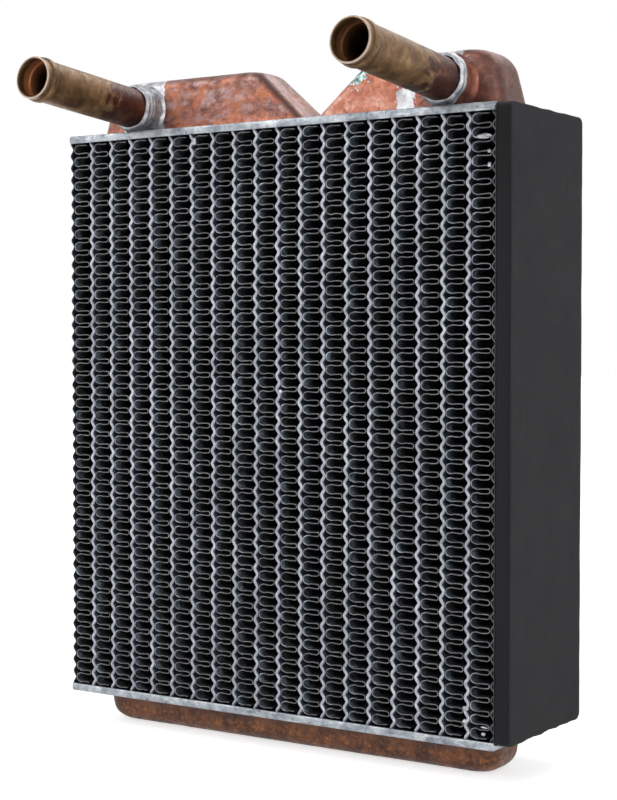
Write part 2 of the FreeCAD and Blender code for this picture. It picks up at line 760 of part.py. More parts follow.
def faults_of(item):
    """What is wrong with an object after the last recompute."""
    states = [state for state in item.State if state in ("Invalid", "Error")]
    return [f"{item.Label} is {state}" for state in states]


def write_parts(pieces):
    doc.recompute()
    faults = [fault for item in doc.Objects for fault in faults_of(item)]
    for piece in pieces:
        shape = piece.Shape
        if shape.isNull() or not shape.isValid() or not shape.Solids:
            faults.append(f"{piece.Label} has no valid solid")
    if faults:
        raise RuntimeError("; ".join(faults))
    os.makedirs("parts", exist_ok=True)
    for piece in pieces:
        piece.Shape.exportStep(f"parts/{piece.Label}.step")
    print(f"{len(pieces)} nodes, {sum(len(piece.Shape.Solids) for piece in pieces)} solids")


def main():
    pieces = make_core()
    pieces.append(header_plate("top_header_plate", TOP, upwards=False))
    pieces.append(header_plate("bottom_header_plate", BOTTOM, upwards=True))
    pieces += top_tank("left") + top_tank("right") + bottom_tank()
    pieces += [hose_pipe("left"), hose_pipe("right")]
    pieces += [solder_collar("left", ridges=2), solder_collar("right", ridges=1)]
    pieces += side_pad()
    write_parts(pieces)


main()
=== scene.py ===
"""Looks of a car's heater core: wavy tubes, folded fins, pressed copper tanks, brass pipes and a foam pad.

Lengths are millimetres in the CAD model's frame and become metres when a mesh is made. The floor, the
lamps and the camera are placed in metres.
"""

import json
import math
import random

import bmesh
import bpy
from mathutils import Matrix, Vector, noise


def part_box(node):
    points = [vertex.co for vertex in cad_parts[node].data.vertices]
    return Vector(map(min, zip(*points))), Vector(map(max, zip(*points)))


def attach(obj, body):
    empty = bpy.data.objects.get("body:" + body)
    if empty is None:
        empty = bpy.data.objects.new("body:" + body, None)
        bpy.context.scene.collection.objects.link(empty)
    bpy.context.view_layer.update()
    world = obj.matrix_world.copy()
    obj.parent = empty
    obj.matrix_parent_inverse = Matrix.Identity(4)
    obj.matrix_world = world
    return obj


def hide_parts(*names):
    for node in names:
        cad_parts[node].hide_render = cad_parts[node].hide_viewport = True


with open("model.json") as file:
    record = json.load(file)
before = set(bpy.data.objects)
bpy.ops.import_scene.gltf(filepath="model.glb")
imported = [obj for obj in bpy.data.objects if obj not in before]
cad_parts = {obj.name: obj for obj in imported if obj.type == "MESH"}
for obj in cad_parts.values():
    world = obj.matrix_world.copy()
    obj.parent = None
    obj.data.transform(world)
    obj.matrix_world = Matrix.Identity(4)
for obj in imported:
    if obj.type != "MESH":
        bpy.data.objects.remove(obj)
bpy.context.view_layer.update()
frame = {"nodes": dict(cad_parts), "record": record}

MM = 0.001

# Sizes of the core that its boxes don't give: half thicknesses, and the reach of a fin's wide and tight
# folds above and below their middles, as shares of a wave
WAVES = 45
WAVE_SWING = 0.65
TUBE_HALF = 0.65
TUBE_END_GAP = 1.05
STRIP_HALF = 0.3
STRIP_OVERLAP = 0.3
FIN_HALF = 0.17
WIDE_FOLD = 0.325
TIGHT_FOLD = 0.175
RIM_HEIGHT = 3.0
RIM_SHEET = 0.8
RIM_CORNER = 1.5

# Sizes of the pipes and their necks
PIPE_RADIUS = 7.95
PIPE_BORE = 7.05
PIPE_INSET = 2.5
NOSE_LENGTH = 3.0
BEAD_LENGTH = 3.6
BEAD_HEIGHT = 0.65
LIP_ROUND = 0.35
FLARE_LENGTH = 1.2
MOUTH_FLARE = 0.12
NECK_WALL = 0.85
NECK_ROOT = 0.9
NECK_FLARE = 2.6
PIPE_FIT = 0.05
PLATE_CLEARANCE = 0.05

# Sizes of the tanks and the foam pad
TANK_CORNER = 5.0
BOTTOM_CORNER = 5.7
TANK_DRAFT = math.radians(5.0)
NOTCH_SLOPE = math.radians(48.0)
END_SLOPE = math.radians(13.5)
ROOF_GAP = 0.02
FOAM_EDGE = 0.7
FOAM_CORNER = 3.0
FOAM_END_REACH = 12
FOAM_SIDE_REACH = 8

# The camera, the white floor under the object and the sky's light on it
CAMERA_AZIMUTH = math.radians(33.56)
CAMERA_TILT = math.radians(2.05)
CAMERA_LENS = 77.85
CAMERA_SENSOR = 36.0
CAMERA_ACROSS, CAMERA_BEFORE, CAMERA_ABOVE = 0.3776, 0.5389, 0.1456
FLOOR_HALF = 6.0
FLOOR_GLOW = {"From Min": 0.25, "From Max": 0.9, "To Min": 0.62, "To Max": 1.0}
WORLD_LIGHT = 0.42


# Reading the frame


def box_of(*nodes):
    """Lowest and highest corner around some CAD nodes, in millimetres."""
    boxes = [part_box(node) for node in nodes]
    low = [min(box[0][axis] for box in boxes) / MM for axis in range(3)]
    high = [max(box[1][axis] for box in boxes) / MM for axis in range(3)]
    return Vector(low), Vector(high)


mounts = {mount["name"]: mount for mount in frame["record"]["mounts"]}
plate_low, plate_high = box_of("top_header_plate", "bottom_header_plate")
wave_low = plate_low.z + RIM_HEIGHT
wave_high = plate_high.z - RIM_HEIGHT
wave_length = (wave_high - wave_low) / WAVES
tube_nodes = [f"water_tube_{number:02}" for number in range(1, 19)]
ribbon_nodes = [f"fin_ribbon_{number:02}" for number in range(1, 20)]

foam_front = box_of("foam_side_pad")[0].y
tube_front, tube_back = (corner.y for corner in box_of(tube_nodes[0]))
fin_front, fin_back = (corner.y for corner in box_of(ribbon_nodes[1]))
tank_front, tank_back = (corner.y for corner in box_of("bottom_tank"))
tank_half = (tank_back - tank_front) / 2


def middle_x(node):
    low, high = box_of(node)
    return (low.x + high.x) / 2


class Axis:
    """The axis of a hose pipe. Distances along it start at the tank's face and grow towards the mouth."""

    def __init__(self, side):
        bore, nose = mounts[f"{side}_pipe_bore"], mounts[f"{side}_pipe_nose"]
        self.way = Vector(nose["axis"]).normalized()
        half = self.way * (bore["dims"]["length_mm"] / 2)
        self.foot = Vector(bore["pos_m"]) / MM - half + self.way * PIPE_INSET
        mouth = Vector(nose["pos_m"]) / MM + self.way * (nose["dims"]["length_mm"] / 2)
        self.length = (mouth - self.foot).length
        self.across = Vector((1, 0, 0))
        self.up = self.across.cross(self.way).normalized() * -1

    def point(self, along, radius, angle):
        outwards = self.across * math.cos(angle) + self.up * math.sin(angle)
        return self.foot + self.way * along + outwards * radius


left_axis, right_axis = Axis("left"), Axis("right")


# Making meshes


def piece(name, points, faces, material, replaces=(), smooth=True, layers=None):
    """An object of the heater core from points in millimetres, riding on the one body."""
    mesh = bpy.data.meshes.new(name)
    mesh.from_pydata([Vector(point) * MM for point in points], [], faces)
    for layer, values in (layers or {}).items():
        attribute = mesh.attributes.new(layer, "FLOAT", "POINT")
        attribute.data.foreach_set("value", [float(value) for value in values])
    mesh.polygons.foreach_set("use_smooth", [smooth] * len(mesh.polygons))
    shell = bmesh.new()
    shell.from_mesh(mesh)
    bmesh.ops.recalc_face_normals(shell, faces=shell.faces)
    shell.to_mesh(mesh)
    shell.free()
    mesh.materials.append(material)
    thing = bpy.data.objects.new(name, mesh)
    bpy.context.scene.collection.objects.link(thing)
    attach(thing, "root")
    if replaces:
        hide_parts(*replaces)
    return thing


def loft_faces(rings, size, caps=True, start=0):
    """Quads between rings of `size` points, closed around each ring, with a cap at either end."""
    faces = []
    for ring in range(rings - 1):
        first = start + ring * size
        for step in range(size):
            after = (step + 1) % size
            faces.append((first + step, first + after, first + size + after, first + size + step))
    if caps:
        faces.append(tuple(start + step for step in reversed(range(size))))
        faces.append(tuple(start + (rings - 1) * size + step for step in range(size)))
    return faces


def rough(place, scale, amount, seed=0.0):
    """Smooth noise between -amount and amount at a place."""
    return amount * noise.noise(Vector(place) * scale + Vector((seed, seed * 1.7, -seed)))


def rounded_outline(left, right, front, back, corner, corner_steps=5, long_steps=40, short_steps=12):
    """Points around a rectangle with round corners, anticlockwise seen from above."""
    corner = max(min(corner, (right - left) / 2 - 0.05, (back - front) / 2 - 0.05), 0.02)
    centres = [
        ((right - corner, front + corner), -math.pi / 2, short_steps),
        ((right - corner, back - corner), 0.0, long_steps),
        ((left + corner, back - corner), math.pi / 2, short_steps),
        ((left + corner, front + corner), math.pi, long_steps),
    ]
    points = []
    for number, (centre, start, steps) in enumerate(centres):
        arc = [
            (
                centre[0] + corner * math.cos(start + math.pi / 2 * step / corner_steps),
                centre[1] + corner * math.sin(start + math.pi / 2 * step / corner_steps),
            )
            for step in range(corner_steps + 1)
        ]
        points += arc
        after = centres[(number + 1) % 4]
        begin = (after[0][0] + corner * math.cos(after[1]), after[0][1] + corner * math.sin(after[1]))
        for step in range(1, steps):
            part = step / steps
            points.append(tuple(end + (goal - end) * part for end, goal in zip(arc[-1], begin)))
    return points


# Materials


class Recipe:
    """A material under construction: its node tree and its shader."""

    def __init__(self, name, roughness, metallic=0.0):
        self.material = bpy.data.materials.new(name)
        self.material.use_nodes = True
        self.tree = self.material.node_tree
        self.shader = self.tree.nodes["Principled BSDF"]
        self.shader.inputs["Roughness"].default_value = roughness
        self.shader.inputs["Metallic"].default_value = metallic
        coordinates = self.tree.nodes.new("ShaderNodeTexCoord")
        self.place = coordinates.outputs["Object"]

    def node(self, kind, **settings):
        node = self.tree.nodes.new(kind)
        for name, value in settings.items():
            setattr(node, name, value)
        return node

    def plug(self, socket, value):
        if isinstance(value, bpy.types.NodeSocket):
            self.tree.links.new(value, socket)
        else:
            socket.default_value = value

    def layer(self, name):
        """What is painted on the mesh under a name."""
        return self.node("ShaderNodeAttribute", attribute_name=name).outputs["Fac"]

    def thinned(self, name, strength):
        """A painted layer at a part of its strength."""
        return self.math("MULTIPLY", self.layer(name), strength, clamp=True)

    def edge(self, name, ragged, softness):
        """A painted layer with a ragged border, which stays off the surface that isn't painted at all."""
        shown = self.math("GREATER_THAN", self.layer(name), 0.02)
        painted = self.math("MULTIPLY", self.math("ADD", self.layer(name), ragged), shown)
        return self.span(painted, 0.5 - softness, 0.5 + softness)

    def faces(self, front, back, near, far):
        """1 on the core's front and back faces, fading from `near` to `far` millimetres inside them."""
        depth = self.axis("Y")
        at_front = self.span(depth, front + near, front + far, 1.0, 0.0)
        at_back = self.span(depth, back - far, back - near, 0.0, 1.0)
        return self.math("MAXIMUM", at_front, at_back)

    def stretched(self, across, depth, tall):
        """Places for a noise, with its grain drawn out along the axes whose number is small."""
        node = self.node("ShaderNodeMapping")
        self.plug(node.inputs["Vector"], self.place)
        node.inputs["Scale"].default_value = (across, depth, tall)
        return node.outputs["Vector"]

    def noise(self, grain, detail=4.0, roughness=0.6, distortion=0.0, place=None):
        """Cloudy noise whose features are about `grain` millimetres across."""
        node = self.node("ShaderNodeTexNoise")
        self.plug(node.inputs["Vector"], place or self.place)
        node.inputs["Scale"].default_value = 1 / (grain * MM)
        node.inputs["Detail"].default_value = detail
        node.inputs["Roughness"].default_value = roughness
        node.inputs["Distortion"].default_value = distortion
        return node.outputs["Fac"]

    def math(self, operation, first, second=0.0, clamp=False):
        node = self.node("ShaderNodeMath", operation=operation, use_clamp=clamp)
        self.plug(node.inputs[0], first)
        self.plug(node.inputs[1], second)
        return node.outputs[0]

    def span(self, value, low, high, out_low=0.0, out_high=1.0):
        """A value carried from low..high to out_low..out_high, held at the ends."""
        node = self.node("ShaderNodeMapRange", interpolation_type="SMOOTHSTEP")
        for socket, number in zip(node.inputs, (value, low, high, out_low, out_high)):
            self.plug(socket, number)
        return node.outputs[0]

    def ramp(self, value, *stops):
        """A colour for a value, from stops of (value, colour)."""
        node = self.node("ShaderNodeValToRGB")
        elements = node.color_ramp.elements
        while len(elements) < len(stops):
            elements.new(0.5)
        for element, (position, colour) in zip(elements, stops):
            element.position = position
            element.color = (*colour, 1.0)
        self.plug(node.inputs["Fac"], value)
        return node.outputs["Color"]

    def mix(self, amount, first, second):
        """A colour that goes from first to second as amount goes from 0 to 1."""
        node = self.node("ShaderNodeMix", data_type="RGBA")
        self.plug(node.inputs["Factor"], amount)
        sockets = [socket for socket in node.inputs if socket.type == "RGBA"]
        for socket, colour in zip(sockets, (first, second)):
            self.plug(socket, colour if isinstance(colour, bpy.types.NodeSocket) else (*colour, 1.0))
        return next(socket for socket in node.outputs if socket.type == "RGBA")

    def axis(self, name):
        """One coordinate of the surface, in millimetres."""
        node = self.node("ShaderNodeSeparateXYZ")
        self.plug(node.inputs[0], self.place)
        return self.math("DIVIDE", node.outputs[name], MM)

    def bump(self, height, depth, strength=1.0):
        """Bumps `depth` millimetres high."""
        node = self.node("ShaderNodeBump")
        node.inputs["Distance"].default_value = depth * MM
        node.inputs["Strength"].default_value = strength
        self.plug(node.inputs["Height"], height)
        self.plug(self.shader.inputs["Normal"], node.outputs["Normal"])

    def colour(self, value):
        self.plug(self.shader.inputs["Base Color"], value)

    def gloss(self, value):
        self.plug(self.shader.inputs["Roughness"], value)


def tube_material():
    """Dull tinned brass with a bluish bloom, painted dark on its sides inside the core as painted shade and
    painted bright, with bluish painted highlights, along the folded edge at the core's face.
    """
    recipe = Recipe("tube_tinned_brass", roughness=0.45, metallic=0.5)
    blotch = recipe.noise(3.2, detail=5)
    broad = recipe.span(recipe.noise(38.0, detail=2), 0.35, 0.65, 0.62, 1.0)
    # Painted shade: the tube's sides, which lie deep in the core between the fins
    side = recipe.ramp(
        blotch, (0.35, (0.05, 0.06, 0.075)), (0.58, (0.12, 0.15, 0.185)), (0.72, (0.30, 0.35, 0.41))
    )
    # Painted highlight: the folded edge at the core's face, where light grazes it, with bright bluish
    # blotches
    edge = recipe.ramp(
        blotch, (0.25, (0.26, 0.27, 0.32)), (0.5, (0.44, 0.455, 0.52)), (0.72, (0.72, 0.73, 0.80))
    )
    edge = recipe.mix(broad, (0.15, 0.16, 0.185), edge)
    recipe.colour(recipe.mix(recipe.faces(tube_front, tube_back, 0.35, 0.9), side, edge))
    recipe.gloss(recipe.span(recipe.noise(1.1), 0.3, 0.7, 0.36, 0.62))
    recipe.bump(recipe.noise(0.7, detail=3), 0.06)
    return recipe.material


def fin_material():
    """Black lacquered copper foil, painted grey along its cut edges at the core's faces as a painted
    highlight and near black inside the core as painted shade; solder smears on its wide folds are painted
    bright and bluish as a curved painted highlight.
    """
    recipe = Recipe("fin_lacquered_foil", roughness=0.5, metallic=0.3)
    blotch = recipe.noise(2.4, detail=4)
    # Painted shade: the foil deep inside the core, near black
    inside = recipe.ramp(blotch, (0.3, (0.008, 0.009, 0.011)), (0.7, (0.028, 0.03, 0.036)))
    # Painted highlight: the foil's cut edges at the core's faces, where light grazes them
    edge = recipe.ramp(
        blotch, (0.3, (0.075, 0.073, 0.078)), (0.55, (0.145, 0.14, 0.145)), (0.75, (0.26, 0.25, 0.25))
    )
    # The solder smear, painted bright and bluish as a curved painted highlight on the fold
    solder_sheen = recipe.ramp(
        blotch, (0.35, (0.10, 0.12, 0.145)), (0.52, (0.24, 0.29, 0.34)), (0.68, (0.56, 0.63, 0.70))
    )
    base = recipe.mix(recipe.faces(fin_front, fin_back, 0.1, 0.5), inside, edge)
    # Painted shade: the smear fades out deeper into the core
    shallow = recipe.span(recipe.axis("Y"), fin_front + 1.0, fin_front + 7.0, 1.0, 0.15)
    smear = recipe.math("MULTIPLY", recipe.layer("solder_sheen"), shallow)
    smear = recipe.math("MULTIPLY", smear, recipe.span(recipe.noise(5.0, detail=3), 0.35, 0.6, 0.25, 0.95))
    recipe.colour(recipe.mix(smear, base, solder_sheen))
    recipe.gloss(recipe.span(recipe.noise(1.3), 0.3, 0.7, 0.4, 0.65))
    recipe.bump(recipe.noise(0.6, detail=2), 0.03)
    return recipe.material


def strip_material(name, dark, bright):
    """Plain mottled sheet for the strip on a side of the core."""
    recipe = Recipe(name, roughness=0.5, metallic=0.3)
    recipe.colour(recipe.ramp(recipe.noise(2.0), (0.3, dark), (0.75, bright)))
    recipe.gloss(recipe.span(recipe.noise(1.3), 0.3, 0.7, 0.4, 0.65))
    recipe.bump(recipe.noise(0.8), 0.05)
    return recipe.material


def plate_material():
    """Tinned sheet, mottled and scuffed, with dark nicks."""
    recipe = Recipe("header_tinned_sheet", roughness=0.4, metallic=0.5)
    broad = recipe.noise(7.0, detail=6, distortion=0.3)
    fine = recipe.noise(1.5, detail=6, roughness=0.7)
    base = recipe.ramp(
        broad, (0.32, (0.16, 0.18, 0.21)), (0.48, (0.33, 0.36, 0.40)), (0.66, (0.58, 0.62, 0.65))
    )
    worn = recipe.mix(recipe.span(fine, 0.56, 0.70, 0.0, 0.9), base, (0.09, 0.09, 0.10))
    streaks = recipe.span(recipe.noise(2.2, place=recipe.stretched(0.3, 1.0, 1.6)), 0.53, 0.70, 0.0, 0.65)
    recipe.colour(recipe.mix(streaks, worn, (0.78, 0.81, 0.83)))
    recipe.gloss(recipe.span(fine, 0.3, 0.7, 0.32, 0.62))
    recipe.bump(recipe.noise(1.2, detail=6, roughness=0.7), 0.2)
    return recipe.material


def solder_material():
    """Soft solder, bright where it is smooth and grey where it has dulled."""
    recipe = Recipe("soft_solder", roughness=0.38, metallic=0.7)
    broad = recipe.noise(3.4, detail=5)
    recipe.colour(
        recipe.ramp(
            broad, (0.3, (0.20, 0.205, 0.225)), (0.5, (0.42, 0.43, 0.455)), (0.7, (0.76, 0.77, 0.79))
        )
    )
    recipe.gloss(recipe.span(recipe.noise(1.0), 0.3, 0.7, 0.28, 0.55))
    recipe.bump(recipe.noise(1.4, detail=4), 0.15)
    return recipe.material


def copper_material(name, dark, middle, bright, pale, warm, bright_spread, pale_spread):
    """Heat-stained copper sheet, over which bright and pale stains spread by a share from 0 to 1.

    Layers on the mesh paint what one tank has and another hasn't: crease, band, dim, warm, tin, patina. The
    crease is painted shade and the band a painted highlight."""
    recipe = Recipe(name, roughness=0.42, metallic=0.45)
    clouds = recipe.noise(8.0, detail=7, roughness=0.64, distortion=0.5)
    flecks = recipe.noise(2.2, detail=6, roughness=0.7)
    ragged = recipe.span(recipe.noise(1.7, detail=5), 0.3, 0.7, -0.4, 0.4)
    base = recipe.ramp(clouds, (0.32, dark), (0.5, middle), (0.68, bright))
    spread = recipe.noise(5.0, detail=6, roughness=0.7, distortion=0.9)
    stains = recipe.span(spread, 1.0 - bright_spread, 1.12 - bright_spread, 0.0, 0.85)
    base = recipe.mix(stains, base, bright)
    bloom = recipe.noise(6.5, detail=7, roughness=0.72, place=recipe.stretched(1.0, 1.0, 1.5))
    bloom = recipe.span(bloom, 1.0 - pale_spread, 1.16 - pale_spread, 0.0, 0.75)
    base = recipe.mix(bloom, base, pale)
    base = recipe.mix(recipe.span(flecks, 0.60, 0.76, 0.0, 0.8), base, dark)
    glow = recipe.ramp(clouds, *zip((0.35, 0.52, 0.68), warm))
    glow = recipe.mix(recipe.span(flecks, 0.56, 0.74), glow, middle)
    base = recipe.mix(recipe.edge("warm", ragged, 0.35), base, glow)
    base = recipe.mix(recipe.thinned("dim", 0.75), base, (0.085, 0.05, 0.042))
    # Painted highlight on the band and painted shade in the crease, on the left tank's end by the notch
    base = recipe.mix(recipe.thinned("band", 0.7), base, pale)
    base = recipe.mix(recipe.thinned("crease", 0.85), base, (0.05, 0.02, 0.018))
    verdigris = recipe.ramp(
        flecks, (0.40, (0.055, 0.075, 0.065)), (0.48, (0.17, 0.36, 0.36)), (0.56, (0.72, 0.80, 0.78))
    )
    base = recipe.mix(recipe.edge("patina", ragged, 0.08), base, verdigris)
    silver = recipe.ramp(clouds, (0.35, (0.34, 0.34, 0.37)), (0.6, (0.78, 0.78, 0.80)))
    recipe.colour(recipe.mix(recipe.edge("tin", ragged, 0.05), base, silver))
    recipe.gloss(recipe.span(flecks, 0.3, 0.7, 0.32, 0.6))
    recipe.bump(recipe.noise(2.2, detail=6, roughness=0.65), 0.14)
    return recipe.material


def pipe_material():
    """Aged brass: brown at the mouth, burnt dark red at the foot, rubbed bare with a painted highlight at
    the lip, with painted shade in the bead's grooves and down the bore, and a copper-red painted reflection
    in the bore behind the bead."""
    recipe = Recipe("pipe_aged_brass", roughness=0.42, metallic=0.55)
    along = recipe.layer("along")
    clouds = recipe.noise(8.0, detail=7, roughness=0.66, distortion=0.5)
    spots = recipe.noise(1.8, detail=5, roughness=0.7)
    brown = recipe.ramp(
        clouds, (0.32, (0.080, 0.037, 0.014)), (0.5, (0.20, 0.108, 0.045)), (0.68, (0.37, 0.228, 0.11))
    )
    burnt = recipe.ramp(
        clouds, (0.32, (0.028, 0.009, 0.006)), (0.5, (0.075, 0.022, 0.013)), (0.75, (0.17, 0.055, 0.03))
    )
    heat = recipe.math("ADD", along, recipe.span(clouds, 0.3, 0.7, -7.0, 7.0))
    base = recipe.mix(recipe.span(heat, 26.0, 32.0, 1.0, 0.0), brown, burnt)
    base = recipe.mix(recipe.span(spots, 0.58, 0.75, 0.0, 0.75), base, (0.03, 0.016, 0.008))
    base = recipe.mix(recipe.span(spots, 0.42, 0.30, 0.0, 0.35), base, (0.40, 0.26, 0.11))
    # Painted highlight on the lip's rubbed bare metal
    base = recipe.mix(recipe.thinned("lip", 0.8), base, (0.62, 0.50, 0.43))
    # Painted shade in the grooves beside the bead
    base = recipe.mix(recipe.thinned("groove", 0.9), base, (0.03, 0.017, 0.008))
    # Painted shade in the bore, darker deeper in
    base = recipe.mix(recipe.thinned("inside", 0.92), base, (0.014, 0.008, 0.005))
    # Painted reflection: a copper-red band in the bore behind the bead
    recipe.colour(recipe.mix(recipe.layer("glow"), base, (0.80, 0.34, 0.14)))
    recipe.gloss(recipe.span(spots, 0.3, 0.7, 0.32, 0.58))
    recipe.bump(recipe.noise(1.6, detail=6, roughness=0.7), 0.1)
    return recipe.material


def foam_material():
    """Black closed-cell foam, painted darker on its front face as painted shade."""
    recipe = Recipe("foam_closed_cell", roughness=0.95)
    recipe.shader.inputs["Specular IOR Level"].default_value = 0.25
    clouds = recipe.noise(14.0, detail=5)
    side = recipe.ramp(clouds, (0.3, (0.027, 0.028, 0.030)), (0.7, (0.037, 0.037, 0.040)))
    # Painted shade: the pad's front face is painted darker than its side
    cut = recipe.span(recipe.axis("Y"), foam_front + 0.3, foam_front + 1.2, 1.0, 0.0)
    recipe.colour(recipe.mix(cut, side, (0.014, 0.0145, 0.016)))
    cells = recipe.node("ShaderNodeTexVoronoi")
    recipe.plug(cells.inputs["Vector"], recipe.place)
    cells.inputs["Scale"].default_value = 1 / (0.9 * MM)
    recipe.bump(cells.outputs["Distance"], 0.12, 0.6)
    return recipe.material


def film_material():
    """The dark adhesive film behind the foam."""
    recipe = Recipe("film_adhesive", roughness=0.6)
    recipe.colour(recipe.ramp(recipe.noise(6.0), (0.3, (0.02, 0.02, 0.02)), (0.7, (0.05, 0.05, 0.05))))
    return recipe.material


# Water tubes, side strips and fins


def wave_at(height):
    """Sideways place and slope of a tube's centre line at a height."""
    if height <= wave_low or height >= wave_high:
        return -WAVE_SWING, 0.0
    turn = 2 * math.pi * (height - wave_low) / wave_length
    return -WAVE_SWING * math.cos(turn), WAVE_SWING * 2 * math.pi / wave_length * math.sin(turn)


def wavy_band(name, node, half, material, low, high, seed):
    """A closed flat band that waves up the core, with round noses at the front and the back.

    It drifts sideways a little, is pressed thicker and thinner, and has its noses pushed in unevenly."""
    place = middle_x(node)
    front, back = (corner.y for corner in box_of(node))
    steps = 8 * WAVES
    waves = [wave_low + (wave_high - wave_low) * step / steps for step in range(steps + 1)]
    heights = [low] + waves + [high]
    turns = [math.pi * step / 6 for step in range(7)]
    section = [(-half * math.cos(turn), front + half * (1 - math.sin(turn))) for turn in turns]
    section += [(half * math.cos(turn), back - half * (1 - math.sin(turn))) for turn in turns]
    points = []
    for height in heights:
        centre, slope = wave_at(height)
        lean = math.atan(slope)
        drift = rough((0, 0, height), 0.045, 0.22, seed)
        press = 1 + rough((3, 0, height), 0.35, 0.12, seed)
        push = rough((7, 0, height), 0.12, 0.16, seed)
        for across, depth in section:
            reach = across * press
            y = max(depth + abs(push) * (1 if depth < 0 else -1), front)
            x = place + centre + drift + reach * math.cos(lean)
            points.append((x, y, height - reach * math.sin(lean)))
    piece(name, points, loft_faces(len(heights), len(section)), material, replaces=[node])


def ribbon_path(left, right, seed):
    """The folded line of a fin ribbon in the plane of the core's face, from bottom to top.

    Each wide fold wraps a bulge of the tube on the left, and each tight one meets a bulge on the right.
    The third number of a point is how strongly solder shows on it, painted bright as a painted highlight."""
    chance = random.Random(seed)
    wide, tight = WIDE_FOLD * wave_length, TIGHT_FOLD * wave_length
    path = []
    for fold in range(WAVES):
        centre = wave_low + wave_length * (fold + 0.5) + chance.uniform(-0.10, 0.10)
        near = left + wave_length * chance.uniform(0.25, 0.34)
        far = right - wave_length * chance.uniform(0.16, 0.24)
        tall = wide * chance.uniform(0.93, 1.04)
        # How strongly this fold's solder smear shows, with its painted highlight
        solder_sheen_strength = chance.choice((0.4, 0.8, 1.0))
        for side in (-1, 1):
            bow = chance.uniform(-0.16, 0.16)
            leg = []
            for part in (0.0, 0.08, 0.2, 0.35, 0.55, 0.75, 0.9, 1.0):
                waist = 0.05 * wave_length * math.sin(math.pi * min(part / 0.4, 1.0))
                waist += bow * math.sin(math.pi * part)
                solder_sheen = solder_sheen_strength * max(0.0, 1 - part / 0.35) ** 1.5
                leg.append((near + (far - near) * part, centre + side * (tall + waist), solder_sheen))
            if side < 0:
                path += leg[::-1]
                reach = near - left
                for step in range(1, 8):
                    turn = math.pi * step / 8
                    path.append((near - reach * math.sin(turn), centre - tall * math.cos(turn), solder_sheen_strength))
            else:
                path += leg
        if fold < WAVES - 1:
            middle = wave_low + wave_length * (fold + 1)
            for step in range(1, 6):
                turn = math.pi * step / 6
                path.append((far + (right - far) * math.sin(turn), middle - tight * math.cos(turn), 0.15))
    return path


def fin_ribbon(number, node, material):
    """A fin ribbon with its foil's thickness, following its folds through the depth of the core."""
    low, high = box_of(node)
    path = ribbon_path(low.x + FIN_HALF, high.x - FIN_HALF, seed=100 + number)
    chance = random.Random(500 + number)
    rows = []
    for side in (-1, 1):
        row = []
        for index, (across, height, _) in enumerate(path):
            before, after = path[max(index - 1, 0)], path[min(index + 1, len(path) - 1)]
            run, rise = after[0] - before[0], after[1] - before[1]
            length = math.hypot(run, rise)
            out = side * FIN_HALF
            row.append((across - out * rise / length, height + out * run / length))
        rows.append(row)
    outline = rows[0] + rows[1][::-1]
    uneven = [chance.uniform(0.0, 0.10) for _ in path]
    uneven += uneven[::-1]
    points = [(across, low.y + inset, height) for (across, height), inset in zip(outline, uneven)]
    points += [(across, high.y - inset, height) for (across, height), inset in zip(outline, uneven)]
    count, size = len(path), len(outline)
    faces = []
    for step in range(size):
        after = (step + 1) % size
        faces.append((step, after, size + after, size + step))
    for step in range(count - 1):
        other = size - 1 - step
        faces.append((step, other, other - 1, step + 1))
        faces.append((size + step, size + step + 1, size + other - 1, size + other))
    # The solder smear with its painted highlight, for every point of the outline at both faces
    solder_sheen = [point[2] for point in path]
    layers = {"solder_sheen": (solder_sheen + solder_sheen[::-1]) * 2}
    name = f"fin_ribbon_folded_{number:02}"
    piece(name, points, faces, material, [node], smooth=False, layers=layers)


def solder_drop(name, place, size, material, seed):
    """A small lump of solder left on the core's face."""
    points = [(place[0], place[1], place[2] - size[2])]
    rows, around = 7, 14
    for row in range(1, rows):
        tilt = math.pi * row / rows
        for step in range(around):
            turn = 2 * math.pi * step / around
            way = (math.sin(tilt) * math.cos(turn), math.sin(tilt) * math.sin(turn), -math.cos(tilt))
            swell = 1 + rough(way, 1.6, 0.5, seed)
            points.append([place[axis] + size[axis] * way[axis] * swell for axis in range(3)])
    points.append((place[0], place[1], place[2] + size[2]))
    last = len(points) - 1
    faces = loft_faces(rows - 1, around, caps=False, start=1)
    for step in range(around):
        after = (step + 1) % around
        faces.append((0, 1 + after, 1 + step))
        faces.append((last, last - around + step, last - around + after))
    piece(name, points, faces, material)


